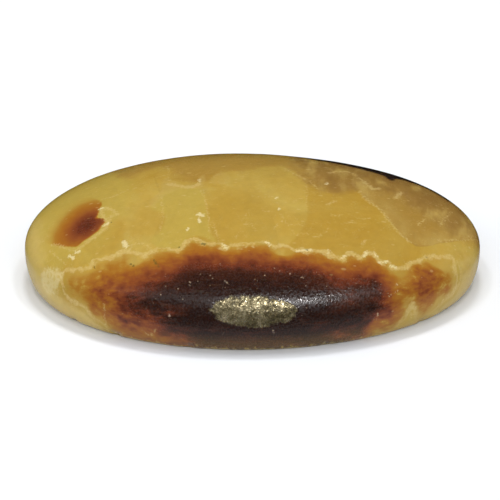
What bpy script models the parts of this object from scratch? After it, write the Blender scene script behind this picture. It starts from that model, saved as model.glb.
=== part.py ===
"""Oval calcite cabochon: one polished stone with a domed top, a rounded edge and a flat ground base.

The stone rests on its base at z = 0, with the middle of the base at the origin. X runs along its
length, Y across it and Z up. All sizes are in metres.
"""

from math import cos, pi, radians, sin

import bpy

COLLECTION = "Oval calcite cabochon"
STONE = "calcite_cabochon"

# Overall size of the stone.
LENGTH = 0.0360
WIDTH = 0.0238
DOME_RISE = 0.0051
GIRDLE_HEIGHT = 0.0028

# How full the dome is: 2 is an ellipse, and a larger number squares its shoulders.
DOME_FULLNESS = 2.15
# Half length of the flat base, as a share of the half length at the girdle.
BASE_SHARE = 0.94
# The blunt end at -X is wider than the middle by this share, and the other end is as much narrower.
END_TAPER = 0.038

# Facets of the solid.
STEPS_AROUND = 120
DOME_RINGS = 20
EDGE_RINGS = 8
CREASE_ANGLE = radians(40)
MERGE_DISTANCE = 1e-6

# The stone's main colour, in linear values, and its polish.
CALCITE_YELLOW = (0.50, 0.33, 0.07, 1.0)
POLISH_ROUGHNESS = 0.22


def clear_scene():
    for old in list(bpy.data.objects):
        bpy.data.objects.remove(old, do_unlink=True)


def part_collection():
    collection = bpy.data.collections.new(COLLECTION)
    bpy.context.scene.collection.children.link(collection)
    return collection


def dome_point(turn):
    """A point of the dome's outline, from its crown at a turn of 0 to the girdle at 1."""
    angle = (1 - turn) * pi / 2
    radius = LENGTH / 2 * max(cos(angle), 0.0) ** (2 / DOME_FULLNESS)
    height = GIRDLE_HEIGHT + DOME_RISE * sin(angle) ** (2 / DOME_FULLNESS)
    return radius, height


def edge_point(turn):
    """A point of the rounded edge, from the girdle at a turn of 0 to the flat base at 1."""
    angle = turn * pi / 2
    inset = LENGTH / 2 * (1 - BASE_SHARE) * (1 - cos(angle))
    return LENGTH / 2 - inset, GIRDLE_HEIGHT * (1 - sin(angle))


def outline():
    """Half of the stone's section, from the crown down its outer side to the middle of the base."""
    crown = [(0.0, GIRDLE_HEIGHT + DOME_RISE)]
    dome = [dome_point(ring / DOME_RINGS) for ring in range(1, DOME_RINGS + 1)]
    edge = [edge_point(ring / EDGE_RINGS) for ring in range(1, EDGE_RINGS)]
    base = [(LENGTH / 2 * BASE_SHARE, 0.0), (0.0, 0.0)]
    return crown + dome + edge + base


def turned_blank():
    """The round blank: the half section turned about Z, as a mesh of its own."""
    profile = bpy.data.meshes.new("half_section")
    points = [(radius, 0.0, height) for radius, height in outline()]
    links = [(index, index + 1) for index in range(len(points) - 1)]
    profile.from_pydata(points, links, [])
    lathe = bpy.data.objects.new("half_section", profile)
    bpy.context.scene.collection.objects.link(lathe)

    turning = lathe.modifiers.new("turning", "SCREW")
    turning.axis = "Z"
    turning.steps = STEPS_AROUND
    turning.render_steps = STEPS_AROUND
    turning.use_merge_vertices = True
    turning.merge_threshold = MERGE_DISTANCE

    bpy.context.view_layer.update()
    graph = bpy.context.evaluated_depsgraph_get()
    blank = bpy.data.meshes.new_from_object(lathe.evaluated_get(graph))
    bpy.data.objects.remove(lathe, do_unlink=True)
    bpy.data.meshes.remove(profile)
    return blank


def press_to_oval(mesh):
    """Narrows the round blank to the oval, with its +X end slightly finer than its -X end."""
    for vertex in mesh.vertices:
        along = vertex.co.x / (LENGTH / 2)
        vertex.co.y *= WIDTH / LENGTH * (1 - END_TAPER * along)
    mesh.update()


def calcite():
    material = bpy.data.materials.new("polished calcite")
    material.use_nodes = True
    shader = material.node_tree.nodes["Principled BSDF"]
    shader.inputs["Base Color"].default_value = CALCITE_YELLOW
    shader.inputs["Roughness"].default_value = POLISH_ROUGHNESS
    shader.inputs["Metallic"].default_value = 0.0
    return material


def add_stone(collection):
    mesh = turned_blank()
    mesh.name = STONE
    press_to_oval(mesh)
    mesh.shade_smooth()
    mesh.set_sharp_from_angle(angle=CREASE_ANGLE)
    mesh.materials.append(calcite())
    stone = bpy.data.objects.new(STONE, mesh)
    collection.objects.link(stone)
    return stone


def main():
    clear_scene()
    add_stone(part_collection())


main()
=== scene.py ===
"""Oval calcite cabochon: the finished stone with its natural markings, and the studio that it lies in.

Run as a script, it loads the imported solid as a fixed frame, cuts the finished stone to the same sizes,
draws the markings on it and sets the floor, the lamps and the camera. Lengths are in metres unless a
name says otherwise. The markings' outlines are drawn on the reference picture, which is 500 pixels
wide and high, and are carried from there onto the stone, so they hold from every side.
"""

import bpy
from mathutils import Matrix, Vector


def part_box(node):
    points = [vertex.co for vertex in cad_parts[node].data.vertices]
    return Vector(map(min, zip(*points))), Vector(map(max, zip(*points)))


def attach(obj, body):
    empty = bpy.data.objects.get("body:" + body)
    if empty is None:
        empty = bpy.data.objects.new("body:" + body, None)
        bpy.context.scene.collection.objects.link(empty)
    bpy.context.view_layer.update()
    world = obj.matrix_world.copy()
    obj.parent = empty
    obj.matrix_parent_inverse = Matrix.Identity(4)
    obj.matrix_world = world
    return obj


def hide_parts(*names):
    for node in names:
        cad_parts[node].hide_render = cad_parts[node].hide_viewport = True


bl_info = {
    "name": "Calcite Cabochon",
    "version": (1, 0, 0),
    "blender": (4, 5, 0),
    "location": "3D View > Sidebar > Cabochon",
    "description": "Cuts an oval cabochon of yellow and brown calcite and lights it",
    "category": "Object",
}

from math import cos, exp, pi, radians, sin

import bmesh
import bpy
import numpy as np
from bpy.props import FloatProperty, FloatVectorProperty, IntProperty, PointerProperty
from mathutils import Vector, noise
from mathutils.kdtree import KDTree

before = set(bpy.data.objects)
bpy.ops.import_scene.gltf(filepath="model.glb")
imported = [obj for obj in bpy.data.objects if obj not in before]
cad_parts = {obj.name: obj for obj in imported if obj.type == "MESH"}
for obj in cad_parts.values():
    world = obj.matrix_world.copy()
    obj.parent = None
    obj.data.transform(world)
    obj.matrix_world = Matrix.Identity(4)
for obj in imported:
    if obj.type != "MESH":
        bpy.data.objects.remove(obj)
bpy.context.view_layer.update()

SOLID = "calcite_cabochon"
STONE = "finished_cabochon"
MM = 0.001

LOW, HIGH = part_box(SOLID)
SOLID_LENGTH = HIGH.x - LOW.x
SOLID_HEIGHT = HIGH.z - LOW.z

# How the reference picture sees the stone: its size, where the middle of the base falls in it, and
# how many of its pixels the stone's length spans.
PICTURE_SIZE = 500
BASE_IN_PICTURE = (252.4, 277.7)
LENGTH_IN_PICTURE = 454.2
SENSOR = 36.0

# How much brighter the studio shows the stone than its own colour is. Each screen colour below is
# divided by it.
STUDIO_LIGHT = 1.12


def seen(red, green, blue):
    """The colour of a surface that looks like this screen colour in the studio's light."""

    def linear(level):
        level = level / 255
        return level / 12.92 if level <= 0.04045 else ((level + 0.055) / 1.055) ** 2.4

    return tuple(linear(level) / STUDIO_LIGHT for level in (red, green, blue))


def length_of(name, description, default):
    return FloatProperty(name=name, description=description, default=default, unit="LENGTH", precision=5)


def share_of(name, description, default):
    return FloatProperty(name=name, description=description, default=default, precision=3)


def colour_of(name, description, default):
    return FloatVectorProperty(
        name=name, description=description, default=default, size=3, subtype="COLOR", min=0.0, max=1.0
    )


class CabochonSizes(bpy.types.PropertyGroup):
    """The stone's cut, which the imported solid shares."""

    length: length_of("Length", "Along X, at the girdle", SOLID_LENGTH)
    width: length_of("Width", "Across the middle of the girdle", 0.0238)
    height: length_of("Height", "From the flat base to the crown", SOLID_HEIGHT)
    girdle: length_of("Girdle height", "Where the stone is widest", 0.0028)
    fullness: share_of("Dome fullness", "2 is an ellipse, more is squarer", 2.15)
    base_share: share_of("Base share", "Half length of the base over that of the girdle", 0.94)
    taper: share_of("End taper", "How much wider the blunt end is than the middle", 0.038)
    facets: IntProperty(name="Facets", description="Squares along one side of the dome's grid", default=232)


class CabochonColours(bpy.types.PropertyGroup):
    """The colours of the calcite and of what grew in it."""

    body: colour_of("Body", "Cloudy yellow calcite", seen(187, 155, 70))
    body_deep: colour_of("Deep body", "Clearer, deeper yellow", seen(179, 144, 58))
    body_pale: colour_of("Pale body", "Milky yellow", seen(192, 167, 86))
    green: colour_of("Greenish body", "Yellow with a green cast", seen(187, 163, 76))
    gold: colour_of("Gold", "Clear golden blocks", seen(178, 141, 54))
    # Painted shade: the far rim made darker than the calcite, where the dome turns away from the light.
    painted_rim_shade: colour_of("Far band", "Browner calcite along the far rim", seen(170, 134, 62))
    haze: colour_of("Haze", "Smoky calcite at the far right", seen(151, 117, 60))
    smoke: colour_of("Smoke", "Darkest of the haze", seen(138, 103, 53))
    smoky: colour_of("Smoky block", "Duller calcite of the fine end", seen(160, 124, 58))
    rock: colour_of("Rock", "The black rock at the back", seen(42, 35, 28))
    # This colour also paints the floor's reflection along the blunt end's rim: painted reflection.
    foot: colour_of("Foot", "Paler calcite low at the ends", seen(207, 181, 108))
    beige: colour_of("Beige", "Milky beige veils", seen(196, 168, 94))
    rim: colour_of("Pale rim", "Crust between the yellow and the brown", seen(210, 184, 116))
    mark: colour_of("Bright mark", "Chalky marks", seen(228, 212, 158))
    # It also paints the glints of small pits in the dark stain: painted highlights, besides chalky marks.
    chalk_and_glint: colour_of("Chalk", "Tiny specks in the dark stain", seen(196, 172, 146))
    dot: colour_of("Dark dot", "Small mossy inclusions", seen(92, 84, 40))
    honey: colour_of("Honey", "Outermost stain", seen(176, 132, 50))
    amber: colour_of("Amber", "Outer stain", seen(164, 106, 36))
    rust: colour_of("Rust", "Middle of the stain", seen(143, 78, 38))
    chestnut: colour_of("Chestnut", "Inner stain", seen(112, 54, 33))
    umber: colour_of("Umber", "Dark stain", seen(76, 39, 26))
    black: colour_of("Black", "Heart of the stain", seen(46, 26, 20))
    ore: colour_of("Ore", "Grains of the gold-green ore", seen(124, 112, 77))
    ore_dark: colour_of("Dark ore", "Between the grains", seen(66, 57, 35))
    ore_light: colour_of("Light ore", "Brightest grains", seen(204, 190, 152))
    ground: colour_of("Ground base", "The unpolished underside", seen(196, 172, 112))


class StudioSettings(bpy.types.PropertyGroup):
    """The floor, the lamps and the camera."""

    elevation: FloatProperty(
        name="View elevation", description="Above the floor", default=radians(30), subtype="ANGLE"
    )
    distance: length_of("View distance", "From the camera to the middle of the base", 0.5732)
    floor_radius: length_of("Floor radius", "Reach of the pale floor", 0.9)
    floor: colour_of("Floor", "Pale floor", (0.80, 0.82, 0.85))
    floor_glow: share_of("Floor glow", "How brightly the floor shows in the polish", 0.38)
    glow_reach: length_of("Glow reach", "How far round the stone the floor shows in the polish", 0.003)
    ambient: share_of("Ambient", "Soft light from all round", 0.38)


def outline_closed(points, cuts=3):
    """A smooth closed curve through the points, with this many pieces between each pair."""
    corners = np.array(points, float)
    before, after = np.roll(corners, 1, axis=0), np.roll(corners, -1, axis=0)
    beyond = np.roll(corners, -2, axis=0)
    pieces = []
    for cut in range(cuts):
        t = cut / cuts
        pieces.append(
            0.5
            * (
                2 * corners
                + (after - before) * t
                + (2 * before - 5 * corners + 4 * after - beyond) * t**2
                + (3 * corners - before - 3 * after + beyond) * t**3
            )
        )
    return np.stack(pieces, axis=1).reshape(-1, 2)


# Outlines in pixels of the reference picture. A point outside the stone's outline there is carried
# on round the edge by as much.

# The brown patch, along its pale crust, closed under the front edge.
PATCH = (
    (61, 281), (62, 274), (65, 270), (73, 269), (82, 268), (89, 266.5), (91, 262), (95, 258.5),
    (101, 259), (107, 256), (114, 255.5), (118, 252), (122, 249.5), (127, 249.5), (133, 252),
    (141, 253.5), (149, 252.5), (153, 250), (160, 248.5), (170, 248.5), (178, 249), (182, 245),
    (187, 240.5), (194, 238), (200, 239.5), (206, 242.5), (214, 242.5), (221, 243.5), (226, 247),
    (231, 244.5), (242, 243.5), (256, 242.5), (266, 241.5), (271, 243.5), (275, 246), (282, 244.5),
    (289, 246), (294, 249.5), (300, 248), (308, 249.5), (317, 250), (326, 250.5), (334, 255),
    (342, 258.5), (345, 254), (350, 251.5), (356, 253), (361, 256.5), (365, 252), (371, 251.5),
    (376, 254), (379, 258.5), (383, 261), (388, 261), (392, 264.5), (399, 267.5), (404, 267),
    (408, 263.5), (413, 261), (419, 260), (424, 256.5), (431, 255), (439, 256), (450, 256),
    (454, 259), (455, 265), (457, 272), (457.5, 280), (456.5, 288), (452, 296), (445, 301),
    (440, 305), (433, 311), (425, 317), (418, 322), (415, 317), (414, 310), (411, 307), (408, 312),
    (406, 318), (401, 323), (397, 327), (391, 331), (382, 334), (376, 335), (371, 338),
    (362, 341), (354, 343), (346, 346), (338, 352), (326, 368), (270, 382), (200, 378),
    (140, 362), (112, 340), (107, 328), (101, 323), (94, 320), (89, 315), (86, 309), (80, 305.5),
    (73, 303), (67, 298), (63, 290),
)
# The dark heart of the patch.
HEART = (
    (136, 303), (143, 293), (153, 287), (165, 282), (176, 276), (186, 269), (204, 268), (224, 269),
    (244, 268), (262, 270), (276, 272), (292, 271), (308, 273), (320, 277), (334, 282), (350, 284),
    (364, 284), (375, 283), (379, 289), (379, 298), (377, 308), (374, 317), (371, 325), (367, 331),
    (360, 337), (350, 346), (334, 360), (270, 374), (215, 366), (198, 352), (186, 338), (170, 330),
    (158, 323), (147, 315), (139, 309),
)
# Lighter and darker places in the stain: middle, reach across and down, and change of depth. The lighter
# places low along the front are partly a paler stain, partly painted reflection of the floor.
STAIN_PLACES = (
    (283, 254, 9, 6, -0.35), (398, 276, 12, 12, -0.18), (134, 263, 14, 7, -0.22), (76, 284, 12, 12, 0.01),
    (438, 263, 12, 5, -0.22), (236, 250, 8, 5, -0.12), (394, 292, 9, 8, -0.22), (402, 303, 7, 10, -0.16),
    (428, 284, 18, 16, 0.30), (427, 292, 9, 10, 0.10), (392, 312, 11, 9, 0.12), (352, 270, 18, 8, 0.06),
    (205, 258, 20, 6, 0.08), (300, 259, 10, 5, 0.12), (104, 288, 16, 9, 0.15), (122, 321, 18, 11, 0.15),
    (160, 336, 16, 8, -0.12), (192, 342, 14, 6, -0.12), (94, 307, 9, 8, 0.14), (418, 270, 8, 6, 0.14),
    (440, 300, 12, 6, -0.12), (250, 337, 60, 10, -0.20), (335, 328, 40, 12, -0.20), (205, 330, 26, 10, -0.14),
    (254, 331, 42, 4, 0.22), (206, 306, 8, 8, 0.20), (300, 312, 8, 8, 0.20), (172, 312, 26, 6, -0.30),
    (330, 286, 24, 6, -0.10), (352, 300, 22, 10, -0.12), (372, 327, 14, 8, -0.40), (345, 338, 24, 6, -0.25),
    (290, 345, 50, 5, -0.25), (148, 326, 10, 8, -0.12), (446, 290, 8, 8, 0.16), (420, 300, 8, 6, 0.10),
)
# The small stain near the blunt end, and how deep it runs at its two middles.
SPOT = (
    (40, 243), (52, 246), (60, 247), (70, 248), (76, 247.5), (80, 245), (84, 241.5), (89, 238),
    (95, 233.5), (100, 229.5), (102, 226), (105, 222.5), (105, 220), (101, 218), (97, 217.5),
    (98.5, 214), (99, 210), (101.5, 207), (102, 203), (97, 198), (86, 197), (72, 200), (56, 207),
    (44, 218), (37, 232),
)
SPOT_PLACES = ((91, 222, 24, 30, 0.78), (74, 234, 21, 21, 0.36))
# The grainy ore.
ORE = (
    (211, 309), (214, 305), (219, 301), (226, 298.5), (232, 296.5), (237, 298), (241, 297),
    (248, 296.5), (255, 297), (262, 296), (268, 297), (273, 299), (281, 300.5), (288, 303),
    (294, 306), (297, 310), (295, 315), (292, 319), (286, 321.5), (277, 322.5), (270, 325.5),
    (262, 327.5), (255, 328), (248, 326.5), (241, 325.5), (235, 325), (229, 323.5), (222, 321),
    (217, 319), (214, 315),
)
# The cells of pale crystal by the blunt end.
CELLS = (
    (40, 273), (44, 269), (51, 267), (58, 267), (63, 269), (65, 274), (62, 279), (60, 285),
    (58, 291), (54, 294.5), (49, 295), (44, 291), (42, 285), (40, 279),
)
# The black rock behind the far right rim, carried over the edge.
BACK_ROCK = (
    (298, 154.5), (312, 157.5), (332, 161.2), (352, 165.7), (372, 171), (384, 175.3), (391, 180),
    (396, 178.5), (404, 179.6), (414, 183), (424, 186.9), (434, 191.8), (443, 197.2), (451, 202),
    (466, 188), (466, 165), (430, 138), (386, 118), (340, 114), (300, 124), (284, 140),
)

# Blocks of clearer, milkier or browner calcite, and two of painted light: painted shade along the far rim and
# a painted reflection along the blunt end's rim. Each has its outline, colour, strength, and softness and
# wander of the edge in millimetres.
BLOCKS = (
    ("blunt_end", "green", 0.7, 1.0, 0.6, (
        (20, 200), (60, 150), (110, 160), (135, 185), (128, 205), (112, 222), (110, 240), (98, 256),
        (70, 262), (60, 285), (48, 330), (10, 320), (0, 260),
    )),
    ("shoulder", "body_pale", 0.22, 0.9, 0.7, (
        (228, 166), (262, 164), (284, 166), (300, 172), (316, 180), (322, 190), (318, 214), (306, 224),
        (286, 222), (262, 214), (240, 204), (226, 186),
    )),
    ("mid_pale", "green", 0.7, 0.14, 0.10, (
        (166, 190), (183, 187), (201, 190), (205, 202), (208, 218), (211, 232), (216, 242), (200, 236),
        (186, 240), (178, 248), (158, 247), (150, 240), (162, 230), (165, 214), (150, 208), (158, 198),
    )),
    ("mid_gold", "body_deep", 0.35, 0.6, 0.4, (
        (206, 191), (211, 206), (214, 222), (219, 238), (224, 250), (300, 255), (306, 238), (303, 216),
        (288, 214), (262, 206), (232, 196),
    )),
    ("right_gold", "gold", 0.65, 0.16, 0.10, (
        (307, 184), (318, 176), (340, 172), (356, 176), (359, 189), (366, 199), (379, 209), (390, 222),
        (398, 232), (408, 241), (421, 247), (418, 258), (400, 268), (376, 262), (345, 262), (288, 262),
        (286, 250), (295, 238), (303, 228), (307, 217), (307, 204),
    )),
    ("left_gold", "body_deep", 0.35, 0.2, 0.12, (
        (111, 221), (122, 222), (123, 246), (113, 252), (100, 255), (84, 249), (90, 241), (101, 234),
    )),
    # Painted shade along the far rim, where the dome turns away from the light.
    ("far_rim_painted_shade", "painted_rim_shade", 0.8, 0.55, 0.45, (
        (104, 150), (112, 172), (128, 179), (146, 170), (166, 168), (178, 177), (194, 183), (204, 181),
        (214, 176), (226, 171), (242, 171), (262, 166), (284, 167), (300, 176), (318, 189), (338, 193),
        (356, 190), (366, 184), (366, 140), (300, 120), (200, 120), (130, 134),
    )),
    ("right_block", "smoky", 0.8, 0.07, 0.08, (
        (352, 182), (359, 189), (366, 199), (374, 205), (380, 209), (386, 217), (392, 223), (400, 233),
        (411, 243), (421, 247), (440, 243), (460, 241), (482, 240), (500, 238), (505, 190), (450, 130),
        (400, 120), (372, 140), (356, 165),
    )),
    ("cloud", "beige", 0.38, 0.18, 0.20, (
        (164, 178), (170, 180), (182, 184), (196, 184), (199, 177), (204, 175), (204, 184), (196, 188),
        (180, 189), (170, 193), (161, 198), (153, 207), (146, 208), (151, 200), (160, 191),
    )),
    ("mound", "beige", 0.30, 0.14, 0.14, (
        (210, 180), (215, 175), (222, 172), (229, 175), (232, 181), (224, 184), (214, 184),
    )),
    ("left_foot", "foot", 0.8, 0.3, 0.3, (
        (36, 282), (58, 296), (70, 305), (84, 311), (90, 319), (100, 326), (107, 333), (112, 344),
        (112, 360), (70, 345), (40, 325), (22, 300),
    )),
    ("right_foot", "foot", 0.5, 0.3, 0.3, (
        (462, 258), (461, 272), (460, 285), (455, 296), (446, 304), (436, 313), (424, 321), (408, 330),
        (420, 345), (450, 330), (480, 300), (492, 262),
    )),
    # Painted reflection: the floor's reflection along the rim of the blunt end, laid in as paler colour.
    ("blunt_rim_reflection", "foot", 0.55, 0.8, 0.4, (
        (24, 205), (38, 222), (43, 245), (45, 262), (47, 285), (42, 310), (10, 300), (5, 240),
    )),
)
# The smoky, marbled calcite along the far right rim.
HAZE = (
    (290, 150), (300, 174), (316, 188), (334, 193), (352, 192), (364, 188), (378, 192), (394, 197),
    (408, 205), (424, 216), (440, 228), (456, 237), (472, 243), (490, 246), (505, 225), (480, 180),
    (430, 140), (380, 120), (320, 122),
)

# Chalky marks, fainter veins and flaws, and mossy specks, each a run of points after its half width in
# pixels.
BRIGHT_MARKS = (
    (1.6, ((75, 253), (79, 251.5))), (1.9, ((69, 256), (74, 258.5))), (2.8, ((124, 242), (126, 246))),
    (1.5, ((188, 228), (187.5, 230))), (2.9, ((199, 214), (202, 215))), (1.6, ((199, 219), (200, 222))),
    (1.9, ((223, 244), (226.5, 248))), (1.8, ((267, 242), (269, 245))), (1.9, ((297, 251), (311, 250))),
    (1.2, ((342, 258), (345, 256))), (1.7, ((364, 256), (367, 252.5))), (1.2, ((372, 252), (377, 256))),
    (1.5, ((380, 262), (388, 262))), (1.4, ((391, 266), (396, 267))), (1.1, ((328.5, 250), (328.5, 254))),
    (1.4, ((326, 184), (327, 183))), (1.3, ((276, 198), (278, 197))), (1.1, ((279, 208), (279.5, 210))),
    (1.6, ((199, 182), (200, 179))), (0.9, ((168.5, 314), (171, 317))), (0.5, ((189.5, 282), (189.5, 285))),
    (0.5, ((221, 286), (222, 287))), (0.6, ((223, 331), (223.5, 333))), (0.5, ((273, 330), (273.5, 333))),
    (0.5, ((289, 272), (289.5, 273))), (0.8, ((377.5, 313), (378, 315))), (0.6, ((376.5, 319), (376.7, 320))),
    (0.8, ((388, 294), (389, 296))), (0.6, ((391, 295), (391.6, 295.6))), (0.8, ((396, 284), (397, 285))),
    (0.7, ((395, 293), (398, 291))), (0.5, ((301, 277), (304, 277.5))), (0.5, ((304, 285), (305, 285.5))),
    (0.4, ((225, 281), (229, 284))),
    (1.6, ((103, 226), (108, 223))), (1.4, ((100, 209), (104, 208))), (1.0, ((232, 323), (234, 323))),
)
FAINT_MARKS = (
    (1.4, ((52, 244.5), (58, 245), (64, 247.5), (70, 249.5), (77, 249.5), (82, 246), (88, 241))),
    (2.2, ((88, 241), (95, 236.5), (102, 231), (106, 227.5), (109, 223), (106, 219.5), (102, 215))),
    (2.2, ((102, 215), (101, 211), (104, 207.5), (111, 209), (114, 212), (118, 214.5))),
    (1.8, ((109, 222), (110.5, 218), (113, 215))), (2.6, ((168, 184), (184, 186.5), (192, 187), (199, 184))),
    (1.6, ((327, 204.5), (335, 201))), (2.4, ((365, 182), (372, 189), (380, 188))),
    (2.2, ((330, 172.5), (338, 170.8), (348, 171.5))), (2.2, ((395, 198), (402, 192))),
    (1.2, ((418, 224), (424, 219))),
    (1.0, ((129, 250), (132, 245.5), (137, 243), (143, 243.5), (148, 247), (151, 250))),
    (1.5, ((359.5, 190), (366, 199), (379, 208.5), (391, 222.5), (398.5, 232), (410, 242))),
    (0.6, ((307, 187), (306.5, 200), (306.5, 210))),
    (0.8, ((201, 190), (206, 203), (208.5, 218), (209.5, 232))),
    (0.8, ((213, 222), (216, 232), (219, 240))), (0.9, ((284, 168.5), (297, 175), (310, 181), (318, 188.5))),
    (1.2, ((457.5, 262), (461, 272), (460, 282), (456, 292))), (0.9, ((352, 172), (358, 177), (364, 181))),
    (0.6, ((438, 240.5), (460, 240), (477, 240))), (0.8, ((103, 199), (114, 196), (128, 190))),
    (0.7, ((162, 196), (163, 214), (160, 230))), (0.6, ((168, 166), (168.5, 178))),
    (1.2, ((362, 246), (364, 241), (368, 239.5))), (0.8, ((440, 226), (446, 218), (452, 212))),
    (0.9, ((61, 280), (60, 288), (57, 296))), (0.7, ((50, 251), (58, 258), (66, 264))),
    (1.4, ((109, 331), (100, 327), (90, 323))), (1.2, ((410, 308), (411, 318))),
    (0.8, ((104, 304), (104.5, 316), (107, 328))), (0.9, ((143, 331), (150, 336), (156, 330))),
    (0.6, ((281, 214), (284, 220), (288, 225))), (0.6, ((274, 229), (278, 223), (283, 220))),
    (0.5, ((253, 196), (264, 197), (274, 196))), (0.5, ((291, 225), (298, 224), (303, 226))),
    (0.6, ((312, 237), (319, 236), (326, 232), (328, 228))), (0.6, ((236, 238), (239, 233), (244, 231))),
    (0.6, ((358, 218), (363, 219), (369, 218))), (0.5, ((343, 224), (350, 222), (356, 223))),
    (0.5, ((297, 235), (303, 233), (309, 234))), (0.5, ((330, 214), (337, 216), (343, 214))),
    (0.5, ((262, 208), (265, 211), (271, 211))), (0.5, ((247, 222), (252, 225), (256, 230))),
)
DARK_MARKS = (
    (1.2, ((178, 247), (179, 247.5))), (1.5, ((202.5, 244), (204, 244))), (1.2, ((94, 267), (94.3, 268))),
    (1.0, ((154, 260), (156, 263), (159, 266))), (0.9, ((131, 264), (134, 266))),
    (0.7, ((166, 206), (166, 207))), (0.8, ((111, 222), (111, 223))), (0.8, ((306, 249.5), (308, 250))),
    (0.7, ((426, 257), (428, 257))),
)


def crown_outline(sizes, turn):
    """Share of the half length and height at a turn from the crown, 0, to the girdle, 1."""
    angle = (1 - turn) * pi / 2
    share = np.maximum(np.cos(angle), 0.0) ** (2 / sizes.fullness)
    rise = np.maximum(np.sin(angle), 0.0) ** (2 / sizes.fullness)
    return share, sizes.girdle + (sizes.height - sizes.girdle) * rise


def edge_outline(sizes, turn):
    """The same from the girdle, 0, to the flat base, 1."""
    angle = turn * pi / 2
    return 1 - (1 - sizes.base_share) * (1 - np.cos(angle)), sizes.girdle * (1 - np.sin(angle))


def on_oval(sizes, share, heading):
    """X and Y of the point at this share of the way out to the girdle."""
    along = share * np.cos(heading)
    across = share * np.sin(heading) * (1 - sizes.taper * along)
    return sizes.length / 2 * along, sizes.width / 2 * across


def share_and_heading(sizes, x, y):
    """The reverse of on_oval."""
    along = x / (sizes.length / 2)
    across = y / (sizes.width / 2 * (1 - sizes.taper * along))
    return np.hypot(along, across), np.arctan2(across, along)


def even_turns(sizes, shares):
    """Turns from crown to girdle that space these shares of the dome's slope evenly."""
    turns = np.linspace(0, 1, 400)
    out, height = crown_outline(sizes, turns)
    out = out * (sizes.length + sizes.width) / 4
    run = np.concatenate([[0], np.cumsum(np.hypot(np.diff(out), np.diff(height)))])
    return np.interp(shares * run[-1], run, turns)


def dome_mesh(sizes):
    """The dome: a square grid drawn out to the oval, so that its facets are alike all over."""
    bpy.ops.mesh.primitive_grid_add(x_subdivisions=sizes.facets, y_subdivisions=sizes.facets, size=2)
    grid = bpy.context.object
    mesh = grid.data
    bpy.data.objects.remove(grid, do_unlink=True)
    flat = np.empty(len(mesh.vertices) * 3)
    mesh.vertices.foreach_get("co", flat)
    flat = flat.reshape(-1, 3)
    p, q = flat[:, 0], flat[:, 1]
    wide = np.abs(p) >= np.abs(q)
    longer = np.where(wide, p, q)
    shorter = np.where(wide, q, p)
    lean = pi / 4 * shorter / np.where(longer == 0, 1, longer)
    heading = np.where(wide, lean, pi / 2 - lean) + np.where(longer < 0, pi, 0)
    share, height = crown_outline(sizes, even_turns(sizes, np.abs(longer)))
    x, y = on_oval(sizes, share, heading)
    mesh.vertices.foreach_set("co", np.stack([x, y, height], axis=1).ravel())
    mesh.update()
    return mesh


EDGE_RINGS = 24
BASE_RINGS = 9
BASE_RING_STEP = 0.035


def add_edge_and_base(mesh, sizes):
    """Draws the dome's rim down round the edge and in under the base, and closes the base."""
    rings = [edge_outline(sizes, ring / EDGE_RINGS) for ring in range(1, EDGE_RINGS + 1)]
    rings += [(sizes.base_share - BASE_RING_STEP * ring, 0.0) for ring in range(1, BASE_RINGS + 1)]
    work = bmesh.new()
    work.from_mesh(mesh)
    rim = [edge for edge in work.edges if edge.is_boundary]
    for share, height in rings:
        drawn = bmesh.ops.extrude_edge_only(work, edges=rim)["geom"]
        for vertex in (item for item in drawn if isinstance(item, bmesh.types.BMVert)):
            heading = share_and_heading(sizes, vertex.co.x, vertex.co.y)[1]
            x, y = on_oval(sizes, share, heading)
            vertex.co = (x, y, height)
        rim = [item for item in drawn if isinstance(item, bmesh.types.BMEdge) and item.is_boundary]
    last = bmesh.ops.extrude_edge_only(work, edges=rim)["geom"]
    bmesh.ops.pointmerge(
        work, verts=[item for item in last if isinstance(item, bmesh.types.BMVert)], merge_co=Vector()
    )
    bmesh.ops.recalc_face_normals(work, faces=work.faces)
    work.to_mesh(mesh)
    work.free()
    mesh.shade_smooth()


def vertex_values(mesh, name):
    values = np.empty(len(mesh.vertices) * 3)
    mesh.vertices.foreach_get(name, values)
    return values.reshape(-1, 3)


def slope_run(sizes, outline, reach, turn, chords=40):
    """Length along one part of the section, from its start to each turn, for each reach of the oval."""
    steps = np.linspace(0, 1, chords + 1)[:, None] * turn[None, :]
    out, height = outline(sizes, steps)
    return np.hypot(np.diff(out, axis=0) * reach, np.diff(height, axis=0)).sum(axis=0)


# Heights closer than this are taken as level.
LEVEL = 1e-7


def unrolled(sizes, places):
    """The stone's skin laid flat: how far each place is from the crown, over the surface, in mm."""
    share, heading = share_and_heading(sizes, places[:, 0], places[:, 1])
    share = np.minimum(share, 1.0)
    reach = np.hypot(*on_oval(sizes, 1.0, heading))
    whole = np.ones_like(share)
    on_dome = places[:, 2] >= sizes.girdle - LEVEL
    crown_turn = 1 - np.arccos(share ** (sizes.fullness / 2)) * 2 / pi
    crown_run = slope_run(sizes, crown_outline, reach, np.where(on_dome, crown_turn, whole))
    tuck = np.clip(1 - (1 - share) / (1 - sizes.base_share), 0, 1)
    edge_run = slope_run(sizes, edge_outline, reach, np.where(on_dome, 0, np.arccos(tuck) * 2 / pi))
    base_run = np.where(on_dome, 0, np.maximum(sizes.base_share - share, 0) * reach)
    run = (crown_run + edge_run + base_run) / MM
    facing = np.arctan2(places[:, 1], places[:, 0])
    return np.stack([run * np.cos(facing), run * np.sin(facing)], axis=1)


def in_picture(sizes, studio, places):
    """Where each place falls in the reference picture, in pixels."""
    pixel = sizes.length / LENGTH_IN_PICTURE
    tilt = studio.elevation
    up = places[:, 1] * sin(tilt) + places[:, 2] * cos(tilt)
    away = places[:, 1] * cos(tilt) - places[:, 2] * sin(tilt)
    scale = studio.distance / (studio.distance + away) / pixel
    return np.stack([BASE_IN_PICTURE[0] + places[:, 0] * scale, BASE_IN_PICTURE[1] - up * scale], axis=1)


# A place shows in the picture where its normal points this much towards the camera, and a point further
# than this many pixels from every such place lies outside the stone's outline.
LEAST_FACING = 0.02
WIDEST_GAP = 1.6


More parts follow.
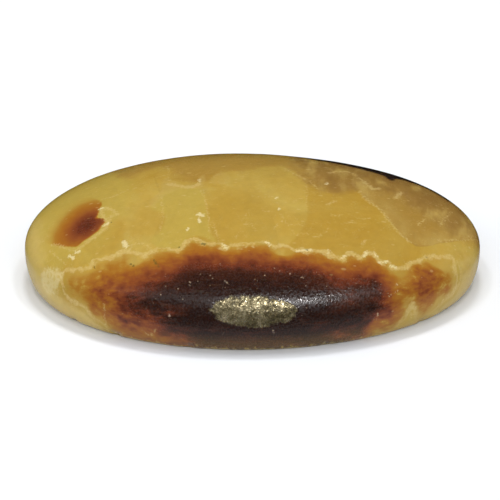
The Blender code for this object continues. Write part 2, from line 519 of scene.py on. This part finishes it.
class Carrier:
    """Carries points of the reference picture onto the stone's unrolled skin."""

    def __init__(self, sizes, studio, places, normals, skin):
        self.skin = skin
        self.pixel = sizes.length / LENGTH_IN_PICTURE / MM
        towards = np.array([0, -cos(studio.elevation), sin(studio.elevation)])
        shown = np.flatnonzero(normals @ towards > LEAST_FACING)
        self.picture = in_picture(sizes, studio, places)
        self.tree = KDTree(len(shown))
        for index in shown:
            self.tree.insert((*self.picture[index], 0.0), int(index))
        self.tree.balance()

    def carry(self, points):
        return np.array([self.place(x, y) for x, y in points])

    def place(self, x, y):
        found = self.tree.find_n((x, y, 0.0), 3)
        weights = np.array([1 / (distance + 0.05) for _, _, distance in found])
        near = [index for _, index, _ in found]
        where = weights @ self.skin[near] / weights.sum()
        if found[0][2] > WIDEST_GAP:
            gap = np.array([x, y]) - self.picture[near[0]]
            where = self.skin[near[0]] + gap * (self.pixel, -self.pixel)
        return where


def distance_to_run(start, end, spots):
    """Distance of each spot from the straight run between two points."""
    run = end - start
    share = np.clip((spots - start) @ run / max(run @ run, 1e-12), 0, 1)
    return np.hypot(*(spots - start - share[:, None] * run).T)


def depth_inside(outline, spots):
    """Distance of each spot from a closed outline, positive inside it."""
    nearest = np.full(len(spots), np.inf)
    inside = np.zeros(len(spots), bool)
    for start, end in zip(outline, np.roll(outline, -1, axis=0)):
        nearest = np.minimum(nearest, distance_to_run(start, end, spots))
        rise = end[1] - start[1]
        crossing = start[0] + (spots[:, 1] - start[1]) / (rise if rise else 1.0) * (end[0] - start[0])
        inside ^= ((start[1] > spots[:, 1]) != (end[1] > spots[:, 1])) & (spots[:, 0] < crossing)
    return np.where(inside, nearest, -nearest)


def cover_of(marks, carrier, spots):
    """How far inside the widest of these marks each spot lies, negative outside them all."""
    cover = np.full(len(spots), -9.0)
    for half_width, points in marks:
        run = carrier.carry(points)
        for start, end in zip(run[:-1], run[1:]):
            cover = np.maximum(cover, half_width * carrier.pixel - distance_to_run(start, end, spots))
    return cover


# How much deeper than 1 the stain grows inside its heart, and over how many millimetres.
HEART_DEEPENS = 0.45
HEART_REACH = 0.9


def stain_between(outer, inner):
    """Depth of a stain: 0 at its outer edge, 1 at its heart's edge and a little more inside the heart."""
    margin = np.maximum(outer, 0) / (np.maximum(outer, 0) + np.maximum(-inner, 0) + 1e-6)
    in_heart = 1 + HEART_DEEPENS * (1 - np.exp(-np.maximum(inner, 0) / HEART_REACH))
    return np.where(inner > 0, in_heart, margin)


def swells(places, carrier, spots):
    """Sum of the smooth swells round these places of the picture, each with its reach and its height."""
    height = np.zeros(len(spots))
    for x, y, across, down, amount in places:
        offset = (spots - carrier.place(x, y)) / carrier.pixel
        height += amount * np.exp(-((offset[:, 0] / across) ** 2) - (offset[:, 1] / down) ** 2)
    return height


# How far in from its edge each stain reaches its own depth, in millimetres, and the least that the
# patch is stained.
PATCH_MARGIN = 0.5
SPOT_MARGIN = 0.14
LEAST_STAIN = 0.06


def draw_markings(mesh, sizes, studio):
    """Writes each marking's field on the stone, for the material to read."""
    places, normals = vertex_values(mesh, "co"), vertex_values(mesh, "normal")
    skin = unrolled(sizes, places)
    carrier = Carrier(sizes, studio, places, normals, skin)

    def depth_of(points):
        return depth_inside(outline_closed(carrier.carry(points)), skin)

    patch, heart = depth_of(PATCH), depth_of(HEART)
    stain = stain_between(patch, heart)
    stain = stain + swells(STAIN_PLACES, carrier, skin) * np.clip(patch / PATCH_MARGIN, 0, 1)
    stain = np.where(patch > 0, np.maximum(stain, LEAST_STAIN), 0)
    spot = swells(SPOT_PLACES, carrier, skin) * np.clip(depth_of(SPOT) / SPOT_MARGIN, 0, 1)
    fields = {
        "stain": np.maximum(stain, spot),
        "haze": depth_of(HAZE),
        "patch": patch,
        "ore": depth_of(ORE),
        "cells": depth_of(CELLS),
        "back_rock": depth_of(BACK_ROCK),
        "bright_marks": cover_of(BRIGHT_MARKS, carrier, skin),
        "faint_marks": cover_of(FAINT_MARKS, carrier, skin),
        "dark_marks": cover_of(DARK_MARKS, carrier, skin),
    }
    for name, _, _, _, _, points in BLOCKS:
        fields[name] = depth_of(points)
    for name, values in fields.items():
        field = mesh.attributes.new(name, "FLOAT", "POINT")
        field.data.foreach_set("value", values.astype(np.float32))
    return fields


WAVE_DEPTH = 0.012 * MM
CHIP_DEPTH = 0.16 * MM
GRAIN_DEPTH = 0.05 * MM
HOLLOW_DEPTH = 0.15 * MM

# In millimetres: how high the chips reach, the middle and the reach along X and Y of the wide hollow at
# the far right, and how far above the base the hollow begins.
CHIP_HEIGHT = 0.75
HOLLOW_MIDDLE = (6.0, 9.0)
HOLLOW_REACH = (7.0, 4.0)
HOLLOW_FOOT = 1.0


def carve_relief(mesh, sizes, fields):
    """Waves and a hollow in the polish, chips along the base edge and the ore's grains, all cut inwards."""
    places, normals = vertex_values(mesh, "co"), vertex_values(mesh, "normal")
    depth = np.zeros(len(places))
    for index, place in enumerate(places):
        spot = Vector(place) / MM
        wave = noise.noise(spot * 0.28) + 0.5 * noise.noise(spot * 0.6)
        depth[index] = WAVE_DEPTH * (0.8 + wave)
        if spot.z > HOLLOW_FOOT:
            along = (spot.x - HOLLOW_MIDDLE[0]) / HOLLOW_REACH[0]
            across = (spot.y - HOLLOW_MIDDLE[1]) / HOLLOW_REACH[1]
            depth[index] += HOLLOW_DEPTH * exp(-(along**2) - across**2)
        if 0 < spot.z < CHIP_HEIGHT:
            low = 1 - spot.z / CHIP_HEIGHT
            chip = noise.noise(Vector((spot.x * 0.9, spot.y * 0.9, 4.0))) - 0.22
            chip += 0.35 * noise.noise(Vector((spot.x * 3.1, spot.y * 3.1, spot.z * 3.1)))
            depth[index] += CHIP_DEPTH * low * min(max(chip * 3, 0), 1)
        if fields["ore"][index] > -0.15:
            grain = noise.noise(spot * 3.2) + 0.6 * noise.noise(spot * 6.5)
            depth[index] += GRAIN_DEPTH * (0.6 + 0.6 * grain) * min(1, fields["ore"][index] / 0.3 + 0.5)
    depth[places[:, 2] < LEVEL] = 0
    places -= normals * depth[:, None]
    places[:, 2] = np.maximum(places[:, 2], 0)
    mesh.vertices.foreach_set("co", places.ravel())
    mesh.update()


class Nodes:
    """Short ways to lay out a material's nodes."""

    def __init__(self, tree):
        self.tree = tree

    def add(self, kind, **settings):
        made = self.tree.nodes.new(kind)
        for name, setting in settings.items():
            setattr(made, name, setting)
        return made

    def join(self, source, target):
        self.tree.links.new(source, target)

    def feed(self, socket, source):
        """Links a node's output to a socket, or sets a plain value on it."""
        if isinstance(source, bpy.types.NodeSocket):
            self.join(source, socket)
        elif socket.type == "RGBA":
            socket.default_value = (*source, 1.0)
        else:
            socket.default_value = source

    def maths(self, operation, first, second=0.0, clamp=False):
        made = self.add("ShaderNodeMath", operation=operation, use_clamp=clamp)
        self.feed(made.inputs[0], first)
        self.feed(made.inputs[1], second)
        return made.outputs[0]

    def field(self, name):
        return self.add("ShaderNodeAttribute", attribute_name=name).outputs["Fac"]

    def step(self, value, low, high):
        """A smooth rise from 0 to 1 as the value goes from low to high."""
        made = self.add("ShaderNodeMapRange", interpolation_type="SMOOTHSTEP")
        self.feed(made.inputs["Value"], value)
        made.inputs["From Min"].default_value = low
        made.inputs["From Max"].default_value = high
        return made.outputs["Result"]

    def blend(self, share, under, over):
        """The colour under and the colour over it, which covers it by this share."""
        made = self.add("ShaderNodeMix", data_type="RGBA")
        self.feed(made.inputs["Factor"], share)
        self.feed(made.inputs["A"], under)
        self.feed(made.inputs["B"], over)
        return made.outputs["Result"]

    def stretched(self, places, stretch, turn):
        """Places scaled and turned, so that a pattern on them runs long and slanting."""
        made = self.add("ShaderNodeMapping")
        self.join(places, made.inputs["Vector"])
        made.inputs["Scale"].default_value = stretch
        made.inputs["Rotation"].default_value = turn
        return made.outputs["Vector"]

    def cloud(self, places, scale, detail=3.0, rough=0.5, distort=0.0):
        """Soft noise from about 0.35 to 0.65, with this many clouds to the millimetre."""
        made = self.add("ShaderNodeTexNoise")
        self.join(places, made.inputs["Vector"])
        made.inputs["Scale"].default_value = scale
        made.inputs["Detail"].default_value = detail
        made.inputs["Roughness"].default_value = rough
        made.inputs["Distortion"].default_value = distort
        return made.outputs["Fac"]

    def cells(self, places, scale, feature="F1", output="Distance"):
        """A pattern like packed crystals, with this many cells to the millimetre."""
        made = self.add("ShaderNodeTexVoronoi", feature=feature)
        self.join(places, made.inputs["Vector"])
        made.inputs["Scale"].default_value = scale
        return made.outputs[output]

    def ramp(self, value, stops):
        made = self.add("ShaderNodeValToRGB")
        self.join(value, made.inputs["Fac"])
        elements = made.color_ramp.elements
        while len(elements) < len(stops):
            elements.new(0.5)
        for element, (position, colour) in zip(elements, stops):
            element.position = position
            element.color = (*colour, 1.0)
        return made.outputs["Color"]

    def signed(self, cloud, amount):
        """A cloud's value brought to run both ways round zero."""
        return self.maths("MULTIPLY", self.maths("SUBTRACT", cloud, 0.5), amount)

    def red_of(self, colour):
        made = self.add("ShaderNodeSeparateColor")
        self.join(colour, made.inputs["Color"])
        return made.outputs["Red"]

    def scaled(self, vector, factor):
        made = self.add("ShaderNodeVectorMath", operation="SCALE")
        self.join(vector, made.inputs[0])
        self.feed(made.inputs["Scale"], factor)
        return made.outputs[0]

    def mottled(self, colour, cloud, amount):
        """A colour made lighter and darker by a cloud."""
        return self.scaled(colour, self.total(self.signed(cloud, amount), 1.0))

    def both(self, *shares):
        """The product of these shares."""
        whole = shares[0]
        for share in shares[1:]:
            whole = self.maths("MULTIPLY", whole, share)
        return whole

    def total(self, *parts, clamp=False):
        """The sum of these, kept between 0 and 1 where it is clamped."""
        whole = parts[0]
        for part in parts[1:-1]:
            whole = self.maths("ADD", whole, part)
        return self.maths("ADD", whole, parts[-1], clamp)

    def along(self, places, axis):
        """How far each place lies along the X, Y or Z axis."""
        made = self.add("ShaderNodeSeparateXYZ")
        self.join(places, made.inputs[0])
        return made.outputs[axis]

    def height_of(self, places):
        return self.along(places, "Z")

    def inverse(self, share):
        return self.maths("SUBTRACT", 1.0, share)

    def fall(self, value, low, high):
        """A smooth fall from 1 to 0 as the value goes from low to high."""
        return self.inverse(self.step(value, low, high))


def calcite_body(nodes, colours, places):
    """The cloudy yellow calcite, with its blocks, its smoky haze and its veils. Among the blocks are painted
    shade along the far rim and a painted reflection along the blunt end's rim.
    """
    clouds = nodes.cloud(places, 0.16, 4, 0.55, 0.8)
    colour = nodes.ramp(clouds, ((0.30, colours.body_deep), (0.50, colours.body), (0.70, colours.body_pale)))
    slabs = nodes.stretched(places, (0.42, 0.22, 0.22), (0.0, 0.15, 0.4))
    colour = nodes.mottled(colour, nodes.red_of(nodes.cells(slabs, 0.9, output="Color")), 0.10)
    wander = nodes.cloud(places, 0.9, 4, 0.6)
    # Two of the blocks are painted light: shade along the far rim and the floor's reflection along the blunt
    # end's rim.
    for name, tone, strength, softness, drift, _ in BLOCKS:
        inside = ragged_inside(nodes, name, wander, drift * 4, -softness, softness)
        colour = nodes.blend(nodes.both(inside, strength), colour, getattr(colours, tone))

    feathers = nodes.cloud(nodes.stretched(places, (0.9, 0.3, 0.3), (0.0, 0.0, -0.35)), 1.0, 4, 0.5, 0.2)
    marble = nodes.ramp(feathers, ((0.32, colours.smoke), (0.50, colours.haze), (0.74, colours.beige)))
    hazy = ragged_inside(nodes, "haze", wander, 2.4, -0.8, 1.1)
    colour = nodes.blend(nodes.both(hazy, 0.78), colour, marble)

    # A streaky veil that is strongest along the edge of the block at the fine end.
    from_edge = nodes.total(nodes.field("right_block"), nodes.signed(wander, 0.8))
    veil = nodes.both(nodes.step(from_edge, -0.04, 0.10), nodes.fall(from_edge, 0.1, 1.9))
    streaks = nodes.both(nodes.step(feathers, 0.36, 0.62), 0.40)
    colour = nodes.blend(nodes.both(veil, nodes.total(streaks, 0.12)), colour, colours.beige)

    # Fine pale threads, where a swirling cloud passes through its middle value.
    swirl = nodes.maths("ABSOLUTE", nodes.signed(nodes.cloud(places, 2.1, 3, 0.5, 0.7), 1.0))
    threads = nodes.fall(swirl, 0.0, 0.020)
    some = nodes.step(nodes.cloud(places, 1.1, 4, 0.6), 0.50, 0.60)
    colour = nodes.blend(nodes.both(threads, some, 0.34), colour, colours.rim)
    return nodes.mottled(colour, nodes.cloud(places, 1.7, 6, 0.65), 0.26)


def stained(nodes, colours, places, body):
    """The brown stains, from honey at their edge to nearly black at the heart."""
    stain = nodes.field("stain")
    height = nodes.height_of(places)

    # The stain's depth drifts with brushed clouds and rounded buds, less in the dark heart, and with
    # long thin layers, most of all low on the stone.
    brush = nodes.cloud(places, 1.5, 4, 0.55, 0.3)
    buds = nodes.cells(places, 1.4, feature="SMOOTH_F1")
    buds = nodes.both(nodes.signed(buds, 0.26), nodes.total(nodes.fall(stain, 0.25, 0.90), 0.10))
    calm = nodes.inverse(nodes.both(nodes.step(stain, 0.80, 1.20), 0.55))
    drift = nodes.both(nodes.total(nodes.signed(brush, 0.50), buds), calm)
    layers = nodes.cloud(nodes.stretched(places, (0.08, 1.0, 1.0), (0.0, 0.0, 0.05)), 2.2, 4, 0.6)
    layers = nodes.both(nodes.signed(layers, 0.70), nodes.total(nodes.fall(height, 3.6, 5.6), 0.35))
    in_patch = nodes.total(nodes.step(nodes.field("patch"), -0.3, 0.3), 0.45)
    drift = nodes.both(nodes.total(drift, layers), in_patch)
    depth = nodes.total(stain, nodes.both(drift, nodes.step(stain, 0.02, 0.45)))

    deepest = 1.8
    stops = (
        (0.06, colours.honey), (0.30, colours.amber), (0.60, colours.rust), (0.85, colours.chestnut),
        (1.05, colours.umber), (1.38, colours.black),
    )
    colour = nodes.ramp(nodes.both(depth, 1 / deepest), [(at / deepest, tone) for at, tone in stops])
    # Paler and greyer low on the stain: partly a paler stain, partly painted reflection of the floor.
    colour = nodes.blend(nodes.both(nodes.fall(height, 0.3, 1.9), 0.30), colour, colours.haze)
    return nodes.blend(nodes.step(depth, 0.0, 0.20), body, colour)


def ragged_inside(nodes, name, ragged, amount, low, high):
    """How far a mark covers the stone, from its field with a ragged edge."""
    return nodes.step(nodes.total(nodes.field(name), nodes.signed(ragged, amount)), low, high)


def in_dark_stain(nodes):
    return nodes.step(nodes.field("stain"), 0.55, 1.05)


def crusted(nodes, colours, places, colour):
    """The pale crust along the patch, the crystal cells, and the chalky, faint and mossy marks."""
    height = nodes.height_of(places)
    ragged = nodes.cloud(places, 3.2, 5, 0.65)
    torn = nodes.cloud(places, 5.5, 4, 0.65)
    depth = nodes.total(nodes.field("patch"), nodes.signed(ragged, 0.80))
    width = nodes.total(nodes.signed(nodes.cloud(places, 1.1, 3), 1.3), 0.20)
    crust = nodes.both(
        nodes.step(depth, -0.16, 0.02),
        nodes.fall(nodes.maths("SUBTRACT", depth, width), -0.10, 0.22),
        nodes.total(nodes.signed(torn, 1.8), 0.62, clamp=True),
        nodes.step(height, 0.2, 2.0),
    )
    colour = nodes.blend(crust, colour, colours.rim)

    walls = nodes.step(nodes.cells(places, 1.9, feature="DISTANCE_TO_EDGE"), 0.0, 0.34)
    walls = nodes.total(walls, nodes.signed(torn, 2.8), clamp=True)
    cell_tone = nodes.blend(nodes.both(walls, 0.8), colours.mark, colours.rim)
    inside = ragged_inside(nodes, "cells", ragged, 1.3, -0.10, 0.40)
    colour = nodes.blend(nodes.both(inside, 0.58), colour, cell_tone)

    # Crumbly beige along the very foot of the edge, but not under the base.
    foot = nodes.total(height, nodes.signed(nodes.cloud(places, 2.4, 4, 0.65), 2.2))
    foot = nodes.both(nodes.fall(foot, 0.10, 0.30), nodes.step(height, 0.0, 0.04))
    colour = nodes.blend(nodes.both(foot, 0.6), colour, colours.beige)

    faint = ragged_inside(nodes, "faint_marks", torn, 1.0, -0.08, 0.15)
    colour = nodes.blend(nodes.both(faint, 0.50), colour, colours.rim)
    bright = ragged_inside(nodes, "bright_marks", torn, 0.7, -0.04, 0.10)
    bright_tone = nodes.blend(in_dark_stain(nodes), colours.mark, colours.chalk_and_glint)
    colour = nodes.blend(nodes.both(bright, 0.80), colour, bright_tone)
    dark = ragged_inside(nodes, "dark_marks", torn, 0.6, -0.04, 0.06)
    return nodes.blend(nodes.both(dark, 0.7), colour, colours.dot)


def specks(nodes, places, scale, share, reach):
    """Small round specks in this share of the cells of a crystal-like pattern."""
    near = nodes.cells(places, scale)
    chosen = nodes.red_of(nodes.cells(places, scale, output="Color"))
    size = nodes.both(nodes.step(chosen, 1 - share, 1.0), reach)
    return nodes.step(nodes.maths("SUBTRACT", size, near), 0.0, 0.10)


def flecked(nodes, colours, places, colour):
    """Painted highlights: tiny pale flecks in the dark stain, where small pits would catch the light; and
    short pale flaws in the yellow.
    """
    dark = in_dark_stain(nodes)
    # Painted highlight: pale flecks for the glints of small pits, high on the dark stain.
    pit_glints = nodes.both(
        specks(nodes, places, 5.2, 0.26, 0.32),
        nodes.step(nodes.cloud(places, 0.5, 2), 0.40, 0.60),
        dark,
        nodes.step(nodes.height_of(places), 2.0, 4.6),
        nodes.step(nodes.field("patch"), 0.0, 0.4),
    )
    colour = nodes.blend(nodes.both(pit_glints, 0.75), colour, colours.chalk_and_glint)
    for turn, scale in ((0.55, 1.5), (-0.75, 1.2), (0.05, 1.0)):
        lean = nodes.stretched(places, (0.75, 1.6, 1.6), (0.0, 0.0, turn))
        flaws = nodes.both(specks(nodes, lean, scale, 0.34, 0.22), nodes.inverse(dark))
        colour = nodes.blend(nodes.both(flaws, 0.34), colour, colours.rim)
    return colour


def rocky_back(nodes, colours, places, colour):
    """The black rock that shows behind the far right rim, with a smoky margin."""
    ragged = nodes.cloud(places, 1.6, 5, 0.6)
    wander = nodes.signed(nodes.cloud(places, 0.45, 4, 0.6), 7.0)
    low_wander = nodes.both(wander, nodes.fall(nodes.height_of(places), 2.4, 4.2))
    inside = nodes.total(nodes.field("back_rock"), nodes.signed(ragged, 0.5), low_wander)
    colour = nodes.blend(nodes.both(nodes.step(inside, -1.0, 0.0), 0.6), colour, colours.smoke)
    tone = nodes.blend(nodes.step(ragged, 0.48, 0.75), colours.rock, colours.umber)
    return nodes.blend(nodes.step(inside, -0.30, 0.20), colour, tone)


def ore_grains(nodes, colours, places):
    """The tone of each grain, paler towards the blunt end, and how bright the grain is."""
    coarse = nodes.red_of(nodes.cells(places, 5.0, output="Color"))
    fine = nodes.red_of(nodes.cells(places, 11.0, output="Color"))
    grain = nodes.total(nodes.both(coarse, 0.5), nodes.both(fine, 0.5))
    patches = nodes.signed(nodes.cloud(places, 1.0, 3), 1.3)
    blunt_side = nodes.fall(nodes.along(places, "X"), -3.0, 0.3)
    level = nodes.total(grain, patches, nodes.both(blunt_side, 0.28))
    tone = nodes.ramp(level, ((0.05, colours.ore_dark), (0.50, colours.ore), (0.98, colours.ore_light)))
    return tone, grain


def calcite_finish(colours):
    """The stone's whole material: stained and crusted calcite, polished above and ground below."""
    material = bpy.data.materials.new("stained calcite")
    material.use_nodes = True
    nodes = Nodes(material.node_tree)
    shader = material.node_tree.nodes["Principled BSDF"]
    places = nodes.scaled(nodes.add("ShaderNodeTexCoord").outputs["Object"], 1 / MM)

    colour = calcite_body(nodes, colours, places)
    colour = stained(nodes, colours, places, colour)
    colour = crusted(nodes, colours, places, colour)
    colour = flecked(nodes, colours, places, colour)
    colour = rocky_back(nodes, colours, places, colour)

    scratch_cloud = nodes.cloud(nodes.stretched(places, (0.22, 7.0, 7.0), (0.0, 0.0, 0.06)), 1.0, 3, 0.6)
    scratches = nodes.step(scratch_cloud, 0.60, 0.72)
    colour = nodes.blend(nodes.both(scratches, 0.04), colour, colours.beige)
    ore = ragged_inside(nodes, "ore", nodes.cloud(places, 3.4, 5, 0.7), 1.1, -0.08, 0.06)
    tone, grain = ore_grains(nodes, colours, places)
    colour = nodes.blend(ore, colour, tone)
    ground = nodes.fall(nodes.height_of(places), 0.01, 0.12)
    colour = nodes.blend(nodes.both(ground, 0.35), colour, colours.ground)
    nodes.join(colour, shader.inputs["Base Color"])

    pitted = nodes.step(nodes.field("stain"), 0.60, 1.05)
    pits = nodes.step(nodes.cloud(places, 5.5, 3, 0.6), 0.44, 0.58)
    rough = nodes.total(
        nodes.both(scratches, 0.10),
        0.15,
        nodes.signed(nodes.cloud(places, 1.2, 4), 0.10),
        nodes.both(pits, pitted, 0.25),
        nodes.both(ore, 0.06),
        nodes.both(ground, 0.40),
        clamp=True,
    )
    nodes.join(rough, shader.inputs["Roughness"])
    shine = nodes.total(nodes.both(grain, 0.6), 0.3)
    nodes.join(nodes.both(ore, shine), shader.inputs["Metallic"])

    shader.inputs["IOR"].default_value = 1.55
    shader.inputs["Subsurface Weight"].default_value = 0.25
    shader.inputs["Subsurface Radius"].default_value = (1.0, 0.55, 0.20)
    shader.inputs["Subsurface Scale"].default_value = 0.0012

    fine = nodes.cloud(places, 7.0, 4, 0.6)
    grit = nodes.cells(places, 4.6)
    unevenness = nodes.total(
        nodes.both(fine, 1.5),
        nodes.both(scratches, -0.5),
        nodes.both(grit, pitted, 1.3),
        nodes.both(grain, ore, 1.6),
        nodes.both(fine, ground, 3.0),
    )
    bump = nodes.add("ShaderNodeBump")
    bump.inputs["Strength"].default_value = 0.6
    bump.inputs["Distance"].default_value = 0.02 * MM
    nodes.join(unevenness, bump.inputs["Height"])
    nodes.join(bump.outputs["Normal"], shader.inputs["Normal"])
    return material


def plain_material(name, colour, rough):
    material = bpy.data.materials.new(name)
    material.use_nodes = True
    shader = material.node_tree.nodes["Principled BSDF"]
    shader.inputs["Base Color"].default_value = (*colour, 1.0)
    shader.inputs["Roughness"].default_value = rough
    shader.inputs["Specular IOR Level"].default_value = 0.0
    return material


def heading_place(azimuth, elevation, distance):
    """A place seen from the stone: azimuth 0 is in front, 90 to the right, in degrees."""
    a, e = radians(azimuth), radians(elevation)
    return Vector((sin(a) * cos(e), -cos(a) * cos(e), sin(e))) * distance


# Each lamp's name, heading, height and spread in degrees, brightness, and whether it shows in the polish.
LAMPS = (
    ("left_key", -106, 74, 15, 4, 27.0, False),
    ("right_key", 106, 74, 15, 4, 27.0, False),
    ("overhead_lamp", 180, 76, 10, 6, 53.5, False),
    ("front_lamp", 0, 42, 50, 30, 2.25, False),
    ("left_fill", -85, 22, 40, 30, 2.5, False),
    ("right_fill", 85, 22, 40, 30, 1.9, False),
    ("catch_light", 15, 30, 7, 3.5, 140.0, True),
    ("right_strip", 27, 31, 46, 7, 1.6, True),
    ("left_strip", -24, 39, 44, 8, 1.5, True),
)


LAMP_DISTANCE = 0.5
GLOW_LIFT = 0.0001


def add_lamp(name, azimuth, elevation, wide, tall, radiance, in_reflections):
    """A flat lamp that faces the stone. It lights the surfaces, or shows in the polish only."""
    data = bpy.data.lights.new(name, "AREA")
    data.shape = "RECTANGLE"
    data.size = 2 * LAMP_DISTANCE * sin(radians(wide / 2))
    data.size_y = 2 * LAMP_DISTANCE * sin(radians(tall / 2))
    data.energy = radiance * pi * data.size * data.size_y
    lamp = bpy.data.objects.new(name, data)
    lamp.location = heading_place(azimuth, elevation, LAMP_DISTANCE)
    lamp.rotation_mode = "QUATERNION"
    lamp.rotation_quaternion = lamp.location.to_track_quat("Z", "Y")
    lamp.visible_camera = False
    lamp.visible_glossy = in_reflections
    lamp.visible_diffuse = not in_reflections
    bpy.context.scene.collection.objects.link(lamp)


def add_floor_glow(sizes, studio):
    """The floor close round the stone as its polish shows it: a flat lamp just above the floor."""
    data = bpy.data.lights.new("floor_glow", "AREA")
    data.shape = "ELLIPSE"
    data.size = sizes.length + 2 * studio.glow_reach
    data.size_y = sizes.width + 2 * studio.glow_reach
    data.energy = studio.floor_glow * pi * pi / 4 * data.size * data.size_y
    lamp = bpy.data.objects.new("floor_glow", data)
    lamp.location = (0.0, 0.0, GLOW_LIFT)
    lamp.rotation_euler = (pi, 0.0, 0.0)
    lamp.visible_camera = False
    lamp.visible_diffuse = False
    bpy.context.scene.collection.objects.link(lamp)


def add_floor(studio):
    """The pale floor, which lights the stone from below but doesn't show in its polish."""
    bpy.ops.mesh.primitive_circle_add(vertices=96, radius=studio.floor_radius, fill_type="TRIFAN")
    floor = bpy.context.object
    floor.name = "floor"
    floor.data.materials.append(plain_material("pale floor", studio.floor, 0.9))
    floor.visible_glossy = False
    return floor


def add_surroundings(studio):
    """Soft white light from all round, which doesn't show in the polish."""
    world = bpy.data.worlds.new("white surroundings")
    world.use_nodes = True
    background = world.node_tree.nodes["Background"]
    background.inputs["Color"].default_value = (1.0, 1.0, 1.0, 1.0)
    background.inputs["Strength"].default_value = studio.ambient
    world.cycles_visibility.glossy = False
    bpy.context.scene.world = world


def add_camera(sizes, studio):
    """The reference picture's view: the base's middle falls where it does there."""
    pixel = sizes.length / LENGTH_IN_PICTURE
    tilt = studio.elevation
    right = Vector((1, 0, 0))
    up = Vector((0, sin(tilt), cos(tilt)))
    middle = PICTURE_SIZE / 2
    aim = (right * (middle - BASE_IN_PICTURE[0]) + up * (BASE_IN_PICTURE[1] - middle)) * pixel
    data = bpy.data.cameras.new("camera")
    data.sensor_width = SENSOR
    data.lens = SENSOR * studio.distance / (PICTURE_SIZE * pixel)
    data.clip_start = 0.01
    data.clip_end = 5.0
    camera = bpy.data.objects.new("camera", data)
    camera.location = Vector((0, -cos(tilt), sin(tilt))) * studio.distance
    camera.rotation_mode = "QUATERNION"
    camera.rotation_quaternion = (camera.location - aim).to_track_quat("Z", "Y")
    bpy.context.scene.collection.objects.link(camera)
    bpy.context.scene.camera = camera


class CABOCHON_OT_stone(bpy.types.Operator):
    """Cut the stone, draw its markings, carve its relief and give it its finish"""

    bl_idname = "cabochon.stone"
    bl_label = "Cut the stone"

    def execute(self, context):
        sizes = context.scene.cabochon_sizes
        mesh = dome_mesh(sizes)
        mesh.name = STONE
        add_edge_and_base(mesh, sizes)
        fields = draw_markings(mesh, sizes, context.scene.cabochon_studio)
        carve_relief(mesh, sizes, fields)
        mesh.materials.append(calcite_finish(context.scene.cabochon_colours))
        stone = bpy.data.objects.new(STONE, mesh)
        context.scene.collection.objects.link(stone)
        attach(stone, "root")
        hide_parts(SOLID)
        return {"FINISHED"}


class CABOCHON_OT_studio(bpy.types.Operator):
    """Lay the floor, hang the lamps and set the camera"""

    bl_idname = "cabochon.studio"
    bl_label = "Set the studio"

    def execute(self, context):
        studio = context.scene.cabochon_studio
        add_floor(studio)
        for lamp in LAMPS:
            add_lamp(*lamp)
        add_floor_glow(context.scene.cabochon_sizes, studio)
        add_surroundings(studio)
        add_camera(context.scene.cabochon_sizes, studio)
        context.scene.view_settings.view_transform = "Standard"
        return {"FINISHED"}


class CABOCHON_PT_panel(bpy.types.Panel):
    """The stone's cut and colours, and the studio"""

    bl_idname = "CABOCHON_PT_panel"
    bl_label = "Calcite Cabochon"
    bl_space_type = "VIEW_3D"
    bl_region_type = "UI"
    bl_category = "Cabochon"

    def draw(self, context):
        layout = self.layout
        for operator in OPERATORS:
            layout.operator(operator.bl_idname)
        for settings in SETTINGS:
            box = layout.box()
            group = getattr(context.scene, settings)
            for name in group.bl_rna.properties.keys():
                if name not in ("name", "rna_type"):
                    box.prop(group, name)


OPERATORS = (CABOCHON_OT_stone, CABOCHON_OT_studio)
SETTINGS = {
    "cabochon_sizes": CabochonSizes,
    "cabochon_colours": CabochonColours,
    "cabochon_studio": StudioSettings,
}


def register():
    for kind in (*SETTINGS.values(), *OPERATORS, CABOCHON_PT_panel):
        bpy.utils.register_class(kind)
    for name, group in SETTINGS.items():
        setattr(bpy.types.Scene, name, PointerProperty(type=group))


def unregister():
    for name in SETTINGS:
        delattr(bpy.types.Scene, name)
    for kind in reversed((*SETTINGS.values(), *OPERATORS, CABOCHON_PT_panel)):
        bpy.utils.unregister_class(kind)


def main():
    register()
    bpy.ops.cabochon.stone()
    bpy.ops.cabochon.studio()
    bpy.context.view_layer.update()


if __name__ == "__main__":
    main()
